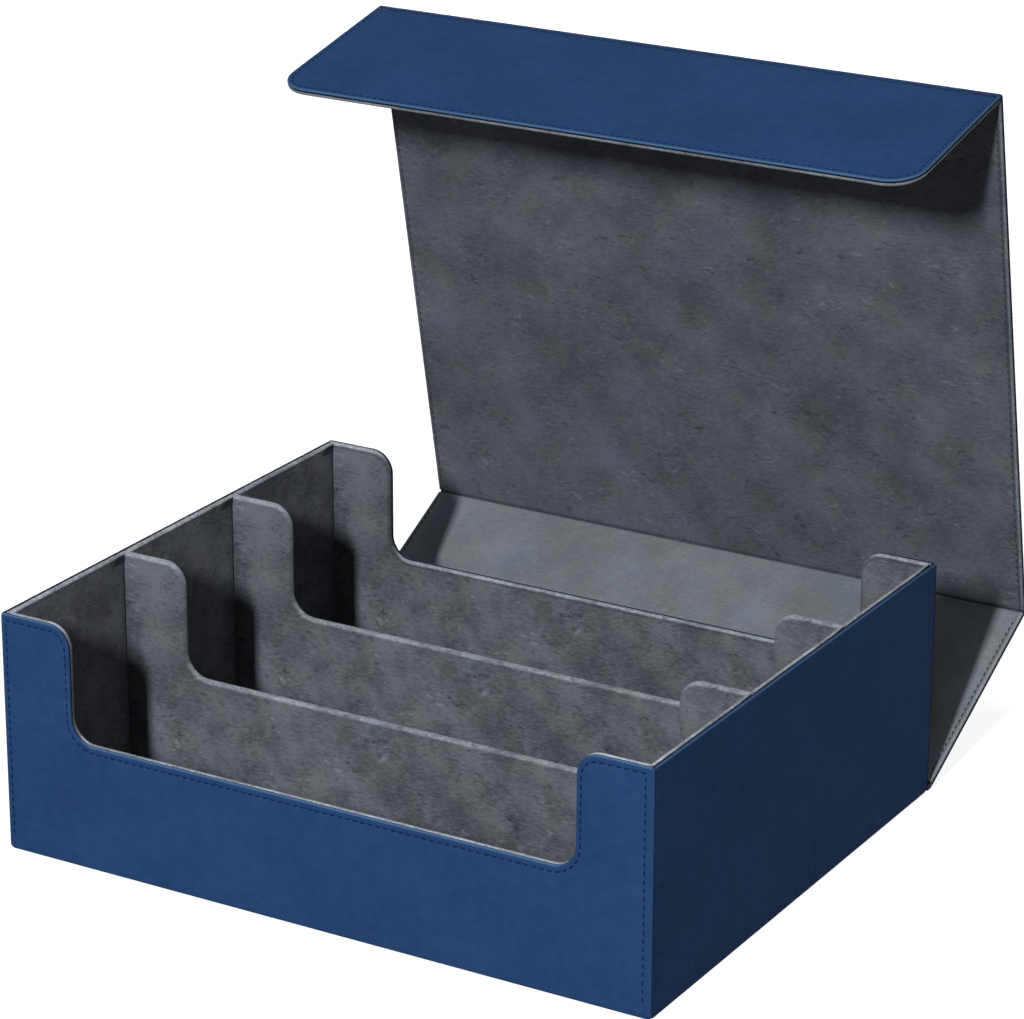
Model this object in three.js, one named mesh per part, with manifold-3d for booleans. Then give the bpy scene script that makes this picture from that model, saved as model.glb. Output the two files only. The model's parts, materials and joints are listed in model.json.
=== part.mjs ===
// A storage box for trading cards: a board tray with three rows, wrapped in leather cloth and
// lined with suede, and a cover of three hinged panels that folds round it and is held by magnets.
// Millimetres. X runs along the front, Y to the back and Z up. The origin is the middle of the
// underside of the tray. The cover stands open behind the tray.

import * as THREE from 'three';
import { mergeVertices } from 'three/addons/utils/BufferGeometryUtils.js';
import Module from 'manifold-3d';

const wasm = await Module();
wasm.setup();

// Driving dimensions

const trayWidth = 310;
const trayDepth = 253;
const trayHeight = 107.5;
const rowCount = 3;

// Sheet thicknesses, with the film of glue between any two of them
const leather = 0.8;
const traySuede = 0.7;
const coverSuede = 0.6;
const trayBoard = 2.3;
const coverBoard = 1.6;
const glueFilm = 0.1;

// The cut-out that the front, the rear and the dividers share
const postWidth = 34.5;
const sillHeight = 56.5;
const postRadius = 10.5;
const sillRadius = 10.5;

// The cover: its air round the closed tray, its overhang at each side, and how far its front flap
// reaches below the sill of the cut-out when it is shut
const coverAir = 0.5;
const coverOverhang = 0.3;
const flapOverlap = 35.8;
const flapCornerRadius = 15;

// Room between two panels folded square to each other, and between a panel and its hinge welt
const foldRoom = 0.3;
const weltRoom = 0.4;

// Where the open cover stands, in degrees: the back panel above the table, then each fold
const backPanelAngle = 27.2;
const spineFoldAngle = 74.6;
const flapFoldAngle = 90;

// Disc magnets, in pairs that meet when the flap is shut, in the middle of its overlap
const magnetDiameter = 12;
const magnetThickness = 1.4;
const magnetSpacing = 150;
const magnetDrop = 17.8;
const magnetFit = 0.2;

// How far a cutting solid runs past what it cuts, and the smoothness of curves
const overrun = 1;
const arcSegments = 10;
const discSegments = 32;

// Worked out from the driving dimensions

const halfWidth = trayWidth / 2;
const halfDepth = trayDepth / 2;

// Depths into a tray wall, from its outer face
const wallBoardOuter = leather + glueFilm;
const wallBoardInner = wallBoardOuter + trayBoard;
const wallLiningOuter = wallBoardInner + glueFilm;
const wallThickness = wallLiningOuter + traySuede;

// Heights of the layers of the floor, from the table
const coverBaseBoardFoot = leather + glueFilm;
const coverBaseTop = coverBaseBoardFoot + coverBoard;
const floorBoardFoot = coverBaseTop + glueFilm;
const floorBoardTop = floorBoardFoot + trayBoard;
const wallFoot = floorBoardTop + glueFilm;
const floorTop = wallFoot + traySuede;

// A divider, and the rows between the dividers
const dividerBoardOuter = traySuede + glueFilm;
const dividerThickness = trayBoard + 2 * dividerBoardOuter;
const rowsDepth = trayDepth - 2 * wallThickness - (rowCount - 1) * dividerThickness;
const rowDepth = rowsDepth / rowCount;
const rowFront = (row) => wallThickness - halfDepth + row * (rowDepth + dividerThickness);
const rowBack = (row) => rowFront(row) + rowDepth;

// A cover panel, measured across its thickness from the line of its hinge
const coverThickness = leather + glueFilm + coverBoard + glueFilm + coverSuede;
const coverOuter = -coverThickness / 2;
const coverInner = coverThickness / 2;
const coverHalfWidth = halfWidth + coverOverhang;
const foldSetback = coverThickness / 2 + foldRoom;
const weltRadius = foldSetback - weltRoom;

// The hinge lines, and the length of each panel between them
const baseHingeY = halfDepth + coverAir + coverThickness / 2;
const baseHingeZ = coverThickness / 2;
const topHingeZ = trayHeight + coverAir + coverThickness / 2;
const backReach = topHingeZ - baseHingeZ;
const topReach = 2 * baseHingeY;
const flapReach = topHingeZ - sillHeight + flapOverlap;
const wallMagnetZ = sillHeight - magnetDrop;
const magnetReach = topHingeZ - wallMagnetZ;

// Helpers

function box(xs, ys, zs) {
  const geometry = new THREE.BoxGeometry(xs[1] - xs[0], ys[1] - ys[0], zs[1] - zs[0]);
  return geometry.translate((xs[0] + xs[1]) / 2, (ys[0] + ys[1]) / 2, (zs[0] + zs[1]) / 2);
}

function extrude(shape, depth) {
  return new THREE.ExtrudeGeometry(shape, { depth, bevelEnabled: false, curveSegments: arcSegments });
}

// A flat sheet drawn in X and Z, from one depth to another
function uprightSheet(shape, ys) {
  return extrude(shape, ys[1] - ys[0]).rotateX(Math.PI / 2).translate(0, ys[1], 0);
}

// A flat sheet drawn in X and along a cover panel, from one side of its thickness to the other
function panelSheet(shape, zs) {
  return extrude(shape, zs[1] - zs[0]).translate(0, 0, zs[0]);
}

function toSolid(geometry) {
  const bare = geometry.clone();
  bare.deleteAttribute('normal');
  bare.deleteAttribute('uv');
  const merged = mergeVertices(bare);
  const mesh = { numProp: 3, vertProperties: merged.attributes.position.array, triVerts: merged.index.array };
  return new wasm.Manifold(new wasm.Mesh(mesh));
}

function toGeometry(solid) {
  const mesh = solid.getMesh();
  const geometry = new THREE.BufferGeometry();
  geometry.setAttribute('position', new THREE.BufferAttribute(mesh.vertProperties, mesh.numProp));
  geometry.setIndex(new THREE.BufferAttribute(mesh.triVerts, 1));
  geometry.computeVertexNormals();
  return geometry;
}

function cutAway(geometry, ...cutters) {
  let solid = toSolid(geometry);
  for (const cutter of cutters) solid = solid.subtract(toSolid(cutter));
  return toGeometry(solid);
}

function join(...geometries) {
  return toGeometry(geometries.map(toSolid).reduce((whole, next) => whole.add(next)));
}

// Materials

const leatherFinish = { color: 0x28446c, roughness: 0.55, metalness: 0 };
const suedeFinish = { color: 0x5b5f66, roughness: 0.95, metalness: 0 };
const boardFinish = { color: 0x8f887a, roughness: 0.9, metalness: 0 };
const magnetFinish = { color: 0xb9bbbe, roughness: 0.3, metalness: 1 };

function addMesh(parent, name, geometry, finish) {
  const mesh = new THREE.Mesh(geometry, new THREE.MeshStandardMaterial(finish));
  mesh.name = name;
  parent.add(mesh);
}

// Outlines

// A wall with its cut-out, in X and Z. The top and the cut-out are drawn in by inset.
function cutWallOutline(reach, foot, inset) {
  const top = trayHeight - inset;
  const sill = sillHeight - inset;
  const cut = halfWidth - postWidth + inset;
  const shoulder = postRadius - inset;
  const corner = sillRadius + inset;
  const outline = new THREE.Shape();
  outline.moveTo(-reach, foot);
  outline.lineTo(reach, foot);
  outline.lineTo(reach, top);
  outline.absarc(cut + shoulder, top - shoulder, shoulder, Math.PI / 2, Math.PI, false);
  outline.absarc(cut - corner, sill + corner, corner, 0, -Math.PI / 2, true);
  outline.absarc(corner - cut, sill + corner, corner, -Math.PI / 2, -Math.PI, true);
  outline.absarc(-cut - shoulder, top - shoulder, shoulder, 0, Math.PI / 2, false);
  outline.lineTo(-reach, top);
  return outline;
}

// A cover panel between two hinges, in X and along the panel
function panelOutline(sides, ends) {
  const outline = new THREE.Shape();
  outline.moveTo(-sides, ends[0]);
  outline.lineTo(sides, ends[0]);
  outline.lineTo(sides, ends[1]);
  outline.lineTo(-sides, ends[1]);
  return outline;
}

// The flap, with its two free corners rounded. Its free edges are drawn in by inset.
function flapOutline(start, inset) {
  const sides = coverHalfWidth - inset;
  const end = flapReach - inset;
  const radius = flapCornerRadius - inset;
  const outline = new THREE.Shape();
  outline.moveTo(-sides, start);
  outline.lineTo(sides, start);
  outline.absarc(sides - radius, end - radius, radius, 0, Math.PI / 2, false);
  outline.absarc(radius - sides, end - radius, radius, Math.PI / 2, Math.PI, false);
  return outline;
}

function addMagnetPockets(outline, height) {
  for (const side of [-1, 1]) {
    const pocket = new THREE.Path();
    const radius = (magnetDiameter + magnetFit) / 2;
    pocket.absarc(side * magnetSpacing / 2, height, radius, 0, 2 * Math.PI, true);
    outline.holes.push(pocket);
  }
  return outline;
}

// The tray's floor, and the cover's base panel that is glued under it

function addFloor(tray) {
  const across = [wallBoardOuter - halfWidth, halfWidth - wallBoardOuter];
  const along = [wallBoardOuter - halfDepth, halfDepth - wallBoardOuter];
  const underRun = [along[0], baseHingeY - foldSetback];
  addMesh(tray, 'cover_base_leather', box(across, underRun, [0, leather]), leatherFinish);
  addMesh(tray, 'cover_base_board', box(across, underRun, [coverBaseBoardFoot, coverBaseTop]), boardFinish);
  addMesh(tray, 'floor_board', box(across, along, [floorBoardFoot, floorBoardTop]), boardFinish);
  const liningReach = halfWidth - wallThickness - glueFilm;
  for (let row = 0; row < rowCount; row += 1) {
    const ys = [rowFront(row) + glueFilm, rowBack(row) - glueFilm];
    const lining = box([-liningReach, liningReach], ys, [wallFoot, floorTop]);
    addMesh(tray, `floor_lining_${row + 1}`, lining, suedeFinish);
  }
}

// The front and the rear wall, one the mirror image of the other

// Leather on a cut wall. Its lip turns over the top and round the cut-out, up to the lining,
// and stops short at both ends, where the leather of the sides passes.
function cutWallLeather(foot) {
  const sheet = uprightSheet(cutWallOutline(halfWidth, foot, 0), [0, wallBoardInner]);
  const hollowDepth = [leather, wallBoardInner + overrun];
  const hollow = cutWallOutline(halfWidth + overrun, foot - overrun, leather);
  const ends = [-1, 1].map((side) => {
    const xs = [side * (halfWidth - wallBoardOuter), side * (halfWidth + overrun)];
    return box(xs.sort((a, b) => a - b), hollowDepth, [sillHeight, trayHeight + overrun]);
  });
  return cutAway(sheet, uprightSheet(hollow, hollowDepth), ...ends);
}

// Sets a piece that is drawn from its outer face inwards on the front, or mirrored on the rear
function onWall(geometry, isRear) {
  if (isRear) geometry.rotateZ(Math.PI);
  return geometry.translate(0, isRear ? halfDepth : -halfDepth, 0);
}

function addCutWall(tray, name, isRear) {
  const leatherFoot = isRear ? floorBoardFoot : 0;
  const boardReach = halfWidth - wallBoardOuter;
  const boardOutline = cutWallOutline(boardReach, wallFoot, wallBoardOuter);
  if (!isRear) addMagnetPockets(boardOutline, wallMagnetZ);
  const board = uprightSheet(boardOutline, [wallBoardOuter, wallBoardInner]);
  const liningOutline = cutWallOutline(halfWidth - wallLiningOuter, wallFoot, 0);
  const lining = uprightSheet(liningOutline, [wallLiningOuter, wallThickness]);
  addMesh(tray, `${name}_leather`, onWall(cutWallLeather(leatherFoot), isRear), leatherFinish);
  addMesh(tray, `${name}_board`, onWall(board, isRear), boardFinish);
  addMesh(tray, `${name}_lining`, onWall(lining, isRear), suedeFinish);
}

// The two sides

function sideRange(side, outerDepth, innerDepth) {
  const xs = [side * (halfWidth - outerDepth), side * (halfWidth - innerDepth)];
  return xs.sort((a, b) => a - b);
}

function addSide(tray, name, side) {
  const sheetEnd = halfDepth - wallBoardOuter;
  const lipEnd = halfDepth - wallLiningOuter;
  const sheet = box(sideRange(side, 0, leather), [-sheetEnd, sheetEnd], [0, trayHeight]);
  const lip = box(sideRange(side, 0, wallBoardInner), [-lipEnd, lipEnd], [trayHeight - leather, trayHeight]);
  addMesh(tray, `${name}_leather`, join(sheet, lip), leatherFinish);
  const boardXs = sideRange(side, wallBoardOuter, wallBoardInner);
  const boardZs = [wallFoot, trayHeight - wallBoardOuter];
  addMesh(tray, `${name}_board`, box(boardXs, [-lipEnd, lipEnd], boardZs), boardFinish);
  for (let row = 0; row < rowCount; row += 1) {
    const ys = [rowFront(row) + glueFilm, rowBack(row) - glueFilm];
    const lining = box(sideRange(side, wallLiningOuter, wallThickness), ys, [wallFoot, trayHeight]);
    addMesh(tray, `${name}_lining_${row + 1}`, lining, suedeFinish);
  }
}

// The dividers: a cut board that stands between the sides, in a sleeve of suede

function addDivider(tray, row) {
  const front = rowBack(row);
  const reach = halfWidth - wallLiningOuter;
  const boardYs = [front + dividerBoardOuter, front + dividerBoardOuter + trayBoard];
  const boardOutline = cutWallOutline(reach, wallFoot, dividerBoardOuter);
  addMesh(tray, `divider_board_${row + 1}`, uprightSheet(boardOutline, boardYs), boardFinish);
  const sleeve = uprightSheet(cutWallOutline(reach, wallFoot, 0), [front, front + dividerThickness]);
  const hollowOutline = cutWallOutline(reach + overrun, wallFoot - overrun, traySuede);
  const hollowYs = [front + traySuede, front + dividerThickness - traySuede];
  const suede = cutAway(sleeve, uprightSheet(hollowOutline, hollowYs));
  addMesh(tray, `divider_suede_${row + 1}`, suede, suedeFinish);
}

// Magnets

function magnetDisc() {
  return new THREE.CylinderGeometry(magnetDiameter / 2, magnetDiameter / 2, magnetThickness, discSegments);
}

function addWallMagnets(tray) {
  const middle = (wallBoardOuter + wallBoardInner) / 2 - halfDepth;
  for (const [name, side] of [['left', -1], ['right', 1]]) {
    const disc = magnetDisc().translate(side * magnetSpacing / 2, middle, wallMagnetZ);
    addMesh(tray, `wall_magnet_${name}`, disc, magnetFinish);
  }
}

function addFlapMagnets(flap) {
  const middle = coverOuter + leather + glueFilm + coverBoard / 2;
  for (const [name, side] of [['left', -1], ['right', 1]]) {
    const disc = magnetDisc().rotateX(Math.PI / 2);
    disc.translate(side * magnetSpacing / 2, magnetReach, middle);
    addMesh(flap, `flap_magnet_${name}`, disc, magnetFinish);
  }
}

// The cover's panels. Each is drawn from its hinge line, with its inner side up.

// Leather on a panel: a sheet whose lip turns up round the board's free edges
function panelLeather(outline, hollowOutline) {
  const lipTop = coverOuter + leather + glueFilm + coverBoard;
  const sheet = panelSheet(outline, [coverOuter, lipTop]);
  return cutAway(sheet, panelSheet(hollowOutline, [coverOuter + leather, lipTop + overrun]));
}

function addPanelLayers(panel, name, outlines) {
  const boardOuter = coverOuter + leather + glueFilm;
  const board = panelSheet(outlines.board, [boardOuter, boardOuter + coverBoard]);
  const lining = panelSheet(outlines.whole, [coverInner - coverSuede, coverInner]);
  addMesh(panel, `${name}_leather`, panelLeather(outlines.whole, outlines.hollow), leatherFinish);
  addMesh(panel, `${name}_board`, board, boardFinish);
  addMesh(panel, `${name}_lining`, lining, suedeFinish);
}

function addPanel(panel, name, reach) {
  const ends = [foldSetback, reach - foldSetback];
  addPanelLayers(panel, name, {
    whole: panelOutline(coverHalfWidth, ends),
    hollow: panelOutline(coverHalfWidth - leather, [ends[0] - overrun, ends[1] + overrun]),
    board: panelOutline(coverHalfWidth - leather - glueFilm, ends),
  });
}

function addFlap(flap) {
  const boardOutline = flapOutline(foldSetback, leather + glueFilm);
  addPanelLayers(flap, 'flap', {
    whole: flapOutline(foldSetback, 0),
    hollow: flapOutline(foldSetback - overrun, leather),
    board: addMagnetPockets(boardOutline, magnetReach),
  });
}

// The folded leather on a hinge line, as a round welt that both panels turn about
function addHingeWelt(panel, name) {
  const welt = new THREE.CylinderGeometry(weltRadius, weltRadius, 2 * coverHalfWidth, discSegments);
  addMesh(panel, name, welt.rotateZ(Math.PI / 2), leatherFinish);
}

function hingedGroup(parent, y, z, degrees) {
  const group = new THREE.Group();
  group.position.set(0, y, z);
  group.rotation.x = THREE.MathUtils.degToRad(degrees);
  parent.add(group);
  return group;
}

// Assembly

const cardBox = new THREE.Group();

const tray = new THREE.Group();
cardBox.add(tray);
addFloor(tray);
addCutWall(tray, 'front', false);
addCutWall(tray, 'rear', true);
addSide(tray, 'left', -1);
addSide(tray, 'right', 1);
for (let row = 0; row < rowCount - 1; row += 1) addDivider(tray, row);
addWallMagnets(tray);

const backPanel = hingedGroup(cardBox, baseHingeY, baseHingeZ, backPanelAngle);
addHingeWelt(backPanel, 'base_hinge_welt');
addPanel(backPanel, 'back_panel', backReach);

const topPanel = hingedGroup(backPanel, backReach, 0, spineFoldAngle);
addHingeWelt(topPanel, 'spine_hinge_welt');
addPanel(topPanel, 'top_panel', topReach);

const flap = hingedGroup(topPanel, topReach, 0, flapFoldAngle);
addHingeWelt(flap, 'flap_hinge_welt');
addFlap(flap);
addFlapMagnets(flap);

export default cardBox;
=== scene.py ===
import json
import math

import bpy
import numpy as np
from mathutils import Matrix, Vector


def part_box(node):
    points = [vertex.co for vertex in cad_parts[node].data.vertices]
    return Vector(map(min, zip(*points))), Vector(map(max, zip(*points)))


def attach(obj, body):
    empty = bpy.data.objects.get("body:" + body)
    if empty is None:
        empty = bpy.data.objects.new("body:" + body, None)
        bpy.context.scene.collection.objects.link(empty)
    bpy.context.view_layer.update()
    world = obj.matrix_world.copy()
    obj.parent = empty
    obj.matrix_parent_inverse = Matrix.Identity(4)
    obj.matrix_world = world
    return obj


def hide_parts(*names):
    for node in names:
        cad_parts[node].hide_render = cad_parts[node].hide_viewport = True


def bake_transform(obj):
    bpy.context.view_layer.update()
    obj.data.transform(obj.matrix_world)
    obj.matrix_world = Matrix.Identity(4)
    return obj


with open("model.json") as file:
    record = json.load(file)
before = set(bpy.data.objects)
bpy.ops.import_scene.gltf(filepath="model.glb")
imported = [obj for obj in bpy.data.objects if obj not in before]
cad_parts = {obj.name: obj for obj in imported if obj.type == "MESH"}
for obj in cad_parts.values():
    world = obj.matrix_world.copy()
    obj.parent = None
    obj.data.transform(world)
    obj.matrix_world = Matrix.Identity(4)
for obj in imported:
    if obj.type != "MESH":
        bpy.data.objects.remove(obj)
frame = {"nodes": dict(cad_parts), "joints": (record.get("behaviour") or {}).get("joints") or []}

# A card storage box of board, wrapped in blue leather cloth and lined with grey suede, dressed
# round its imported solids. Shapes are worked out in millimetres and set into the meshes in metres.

MM = 0.001
X, Y, Z = np.eye(3)

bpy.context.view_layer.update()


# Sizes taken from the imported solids


def node_box(node):
    """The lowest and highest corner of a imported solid, in millimetres."""
    low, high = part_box(node)
    return np.array(low) / MM, np.array(high) / MM


def node_reach(node, origin, direction):
    """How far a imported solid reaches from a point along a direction: the least and the most."""
    mesh = frame["nodes"][node].data
    points = np.empty(len(mesh.vertices) * 3, np.float32)
    mesh.vertices.foreach_get("co", points)
    along = (points.reshape(-1, 3) / MM - origin) @ direction
    return along.min(), along.max()


def joint_facts(name):
    """A hinge's place in millimetres and its range in radians."""
    joint = next(joint for joint in frame["joints"] if joint["name"] == name)
    return np.array(joint["pos_m"]) / MM, np.radians(joint["range_deg"])


wall_low, wall_high = node_box("front_leather")
HALF_WIDTH = wall_high[0]
TRAY_TOP = wall_high[2]
FRONT_Y = wall_low[1]
REAR_Y = node_box("rear_leather")[1][1]
FRONT_INNER_Y = node_box("front_lining")[1][1]
REAR_INNER_Y = node_box("rear_lining")[0][1]
WALL_FOOT = node_box("front_lining")[0][2]
SIDE_INNER_X = node_box("right_lining_1")[0][0]
SIDE_LOW, SIDE_HIGH = node_box("right_leather")
COVER_HALF_WIDTH = node_box("top_panel_leather")[1][0]
ROW_COUNT = sum(node.startswith("floor_lining_") for node in frame["nodes"])

BASE_HINGE, base_range = joint_facts("base_hinge")
SPINE_HINGE, spine_range = joint_facts("spine_hinge")
FLAP_HINGE, flap_range = joint_facts("flap_hinge")
COVER_HALF = BASE_HINGE[2]
FOLD_SETBACK = BASE_HINGE[1] - node_box("cover_base_leather")[1][1]

# The cut-out that the front, the rear and the dividers share, as the solids have it
POST_WIDTH = 34.5
SILL_HEIGHT = 56.5
CUT_RADIUS = 10.5
FLAP_RADIUS = 15.0

# How the sheets are worked: outer corners of the tray, and edges of leather and suede
TOP_CORNER = 1.5
FOOT_CORNER = 2.2
SQUARE_CORNER = 0.35
LEAST_RADIUS = 0.05
LINING_SETBACK = 0.1
CORNER_LINING_REACH = 2.5
SIDE_LINING_TUCK = 1.2
DIVIDER_REACH = 2.4
DIVIDER_CORNER = 1.0
FACE_INSET = 8.0
EDGE_STEPS = 6
CORNER_STEPS = 10
SIDE_SPACING = 12.0


# Meshes


class Face:
    """A flat face: a point on it and its two directions. It looks along their cross product."""

    def __init__(self, origin, across, up):
        self.origin = np.array(origin, float)
        self.across = np.array(across, float)
        self.up = np.array(up, float)
        self.out = np.cross(self.across, self.up)

    def place(self, points):
        """A point (a, b, h) lies at origin + a * across + b * up + h * out."""
        a, b, h = points[..., 0:1], points[..., 1:2], points[..., 2:3]
        return self.origin + a * self.across + b * self.up + h * self.out


def add_object(name, data):
    """An object of a mesh, a lamp or a camera, in the scene."""
    added = bpy.data.objects.new(name, data)
    bpy.context.scene.collection.objects.link(added)
    return added


def make_piece(name, points, faces, flat_places=None, marks=None):
    """A mesh from points in millimetres, with the flat places as its UV map. Its marks are an
    attribute each: how much a point is on a rolled edge, or tucked in behind one, from which the
    materials paint highlights and shade."""
    mesh = bpy.data.meshes.new(name)
    mesh.from_pydata((points * MM).tolist(), [], faces)
    mesh.update()
    mesh.shade_smooth()
    if flat_places is not None:
        corner_points = np.empty(len(mesh.loops), np.int32)
        mesh.loops.foreach_get("vertex_index", corner_points)
        layer = mesh.uv_layers.new(name="flat_place")
        layer.data.foreach_set("uv", flat_places[corner_points].astype(np.float32).ravel())
    for mark, values in (marks or {}).items():
        attribute = mesh.attributes.new(mark, "FLOAT", "POINT")
        attribute.data.foreach_set("value", values.astype(np.float32).ravel())
    return add_object(name, mesh)


def finish_piece(piece, material, body, nodes=()):
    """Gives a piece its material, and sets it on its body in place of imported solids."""
    piece.data.materials.append(material)
    if body:
        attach(piece, body)
    if nodes:
        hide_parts(*nodes)


def tube_faces(rows, columns):
    """The faces of a closed body whose rows of points are loops: quads between neighbouring rows,
    and a cap at each end."""
    row, column = np.meshgrid(np.arange(rows - 1), np.arange(columns), indexing="ij")
    after = (column + 1) % columns
    corners = [row * columns + column, row * columns + after]
    corners += [(row + 1) * columns + after, (row + 1) * columns + column]
    quads = np.stack(corners, axis=-1).reshape(-1, 4).tolist()
    return quads + [list(range(columns))[::-1], list(range((rows - 1) * columns, rows * columns))]


def outline_loops(corners, insets):
    """Loops inside a right-angled outline, one for each row of insets.

    Corner k is (x, y, radius), anticlockwise, and side k runs from corner k to the next. A side
    is drawn in along its inward normal by its inset, so a corner moves to the sum of the corner,
    inset before * normal before and inset after * normal after. Its radius is the radius less the
    mean inset where the outline turns left, and plus it where it turns right. The arc's points
    are centre - turn * normal before * r * cos a + direction before * r * sin a. Returns the
    loops, the sides before and after each point, and its share of the way between them."""
    points, radii = corners[:, :2], corners[:, 2]
    run = np.roll(points, -1, axis=0) - points
    lengths = np.linalg.norm(run, axis=1)
    along = run / lengths[:, None]
    inward = np.stack([-along[:, 1], along[:, 0]], axis=1)
    before = np.roll(np.arange(len(corners)), 1)
    turn = np.sign(along[before, 0] * along[:, 1] - along[before, 1] * along[:, 0])
    moved = points + insets[:, before, None] * inward[before] + insets[:, :, None] * inward
    radius = np.maximum(radii - turn * (insets[:, before] + insets) / 2, LEAST_RADIUS)
    radius = radius[:, :, None]
    centre = moved - along[before] * radius + turn[:, None] * inward[before] * radius
    angle = np.linspace(0, np.pi / 2, CORNER_STEPS + 1)[:, None]
    spokes = (-turn[:, None, None] * inward[before][:, None] * np.cos(angle)
              + along[before][:, None] * np.sin(angle))
    arcs = centre[:, :, None] + radius[:, :, None] * spokes
    pieces, sides_before, sides_after, shares = [], [], [], []
    for side in range(len(corners)):
        count = max(1, round(lengths[side] / SIDE_SPACING))
        part = np.linspace(0, 1, count + 1)[1:-1, None]
        start, end = arcs[:, side, -1, None], arcs[:, (side + 1) % len(corners), 0, None]
        pieces += [arcs[:, side], start * (1 - part) + end * part]
        sides_before += [before[side]] * (CORNER_STEPS + 1) + [side] * (count - 1)
        sides_after += [side] * (CORNER_STEPS + count)
        shares += np.linspace(0, 1, CORNER_STEPS + 1).tolist() + [0.0] * (count - 1)
    return np.concatenate(pieces, axis=1), sides_before, sides_after, np.array(shares)


def unrolled_insets(sections, two_faced):
    """Insets with the edge rolled out flat: a station's inset is the face's, less the length of
    the section from the face to the station. A sleeve is rolled out from its nearer face."""
    steps = np.linalg.norm(np.diff(sections, axis=0), axis=-1)
    zero = np.zeros((1, steps.shape[1]))
    from_first = np.concatenate([zero, np.cumsum(steps, axis=0)])
    from_last = from_first[-1] - from_first
    rolled_out = sections[-1, :, 0] - from_last
    if two_faced:
        rolled_out = np.maximum(rolled_out, sections[0, :, 0] - from_first)
    return rolled_out


def turned_sheet(name, face, corners, kinds, sections, two_faced=False):
    """A sheet whose edges are turned over: one loop round its outline for each station of its
    section, at the station's inset and height, from the back of the sheet over its edge to its
    face. Each side has its own kind of section, and heights blend along the corner arcs."""
    corners = np.array(corners, float)
    stations = np.stack([sections[kind] for kind in kinds], axis=1)
    loops, before, after, share = outline_loops(corners, stations[..., 0])
    heights = stations[:, before, 1] * (1 - share) + stations[:, after, 1] * share
    points = face.place(np.concatenate([loops, heights[..., None]], axis=-1))
    flat_places = outline_loops(corners, unrolled_insets(stations, two_faced))[0]
    # The rolled mark, from which the materials paint highlights on the edges and shade lines inside
    # them.
    roll_shares = [EDGE_PAINT_SHARES.get(kind, 0.0) for kind in kinds]
    edge = np.clip(1 - stations[..., 0] / ROLL_FADE, 0, 1) * roll_shares
    marks = {"rolled": edge[:, before] * (1 - share) + edge[:, after] * share}
    # The tucked-in mark, from which the leather paints the shade in the groove behind its lining.
    if not two_faced:
        face_start = LIP_POINTS + TUCK_FADE
        behind = np.interp(np.arange(len(stations)), [LIP_POINTS, face_start], [1, 0])
        marks["tucked_in_shade"] = np.broadcast_to(behind[:, None], heights.shape)
    faces = tube_faces(*loops.shape[:2])
    return make_piece(name, points.reshape(-1, 3), faces, flat_places.reshape(-1, 2), marks)


# Sections of turned edges: stations (inset, height), from the back of the sheet to its face

LIP_POINTS = 7
LIP_REACH = 3.0
PLAIN_LIP = (LIP_REACH, 2.4, 1.8, 1.3, 0.9, 0.5, 0.2)
SHEET_DEPTH = 0.85
TONGUE_BACK = 0.85
TONGUE_FRONT = 0.65

# The rounded ends of lips: points (inset, height above the end)
LEATHER_LIP_END = [(0.62, 0.0), (0.3, 0.0), (0.06, 0.16)]
LINING_LIP_END = [(0.6, 0.15), (0.5, 0.05), (0.38, 0.0), (0.2, 0.0), (0.06, 0.16)]

# The lining pressed into the groove of a hinge: its thickness there, how far down it reaches,
# where its back ends, and the shape of its foot
GROOVE_LINING = 0.15
GROOVE_LINING_DEPTH = 2.25
GROOVE_LIP_BACK = 1.0
GROOVE_LIP_SHARE = 0.8
GROOVE_FOOT_SHARES = 1.0, 0.6, 0.3
GROOVE_FOOT_RISE = 0.1

# A seam's groove: from the raised band to its middle, its half width, and out to the level face.
# The last is where its middle would be on a face with no seam.
BAND_TO_SEAM = 0.7
SEAM_HALF_WIDTH = 0.35
SEAM_TO_FACE = 1.1
LEVEL_SEAM = 3.2

# The mark of a rolled edge, from which the materials paint a highlight on the edge and a shade
# line just inside it: how far in it fades, and the share of it that each kind of edge has, the
# others none. A half share leaves cut edges with the painted shade line and no highlight. The
# mark of a lip tucked in behind, from which the leather paints shade, fades over a number of
# stations.
ROLL_FADE = 3.0
EDGE_PAINT_SHARES = {"rim": 1.0, "tucked": 1.0, "cut": 0.5}
TUCK_FADE = 2


def section(lip, roll, face):
    """The lip's points, a quarter ellipse over the edge, then the face's points. The roll is
    (inset it reaches, depth it starts at) below the first face point's height."""
    turn = np.linspace(0, np.pi / 2, EDGE_STEPS + 1)
    insets = roll[0] * (1 - np.cos(turn))
    heights = face[0][1] - roll[1] * (1 - np.sin(turn))
    return np.concatenate([lip, np.stack([insets, heights], axis=1), face])


def plain_lip(depth):
    """A lip that stays behind the sheet, for an edge that isn't turned in."""
    return [(inset, -depth) for inset in PLAIN_LIP]


def level_face(height=0.0):
    """Face points at one height, for an edge with no seam."""
    return sewn_face(LEVEL_SEAM, height, height, height)


def sewn_face(seam, top, groove, beyond):
    """Face points with a seam: the edge's height, the groove at the seam, and the height beyond."""
    return [(seam - BAND_TO_SEAM, top), (seam - SEAM_HALF_WIDTH, (2 * top + groove) / 3),
            (seam, groove), (seam + SEAM_HALF_WIDTH, (groove + 2 * beyond) / 3),
            (seam + SEAM_TO_FACE, beyond), (FACE_INSET, beyond)]


def lip_end(points, end):
    """The rounded end of a lip, set at its place down the edge."""
    return [(inset, above - end) for inset, above in points]


def lining_lip(depth, end):
    """A lining's lip turned over the edge: from its back down to its rounded end."""
    inner = LINING_LIP_END[0][0]
    return [(LIP_REACH, -depth), (inner, -depth), *lip_end(LINING_LIP_END, end)]


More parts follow.
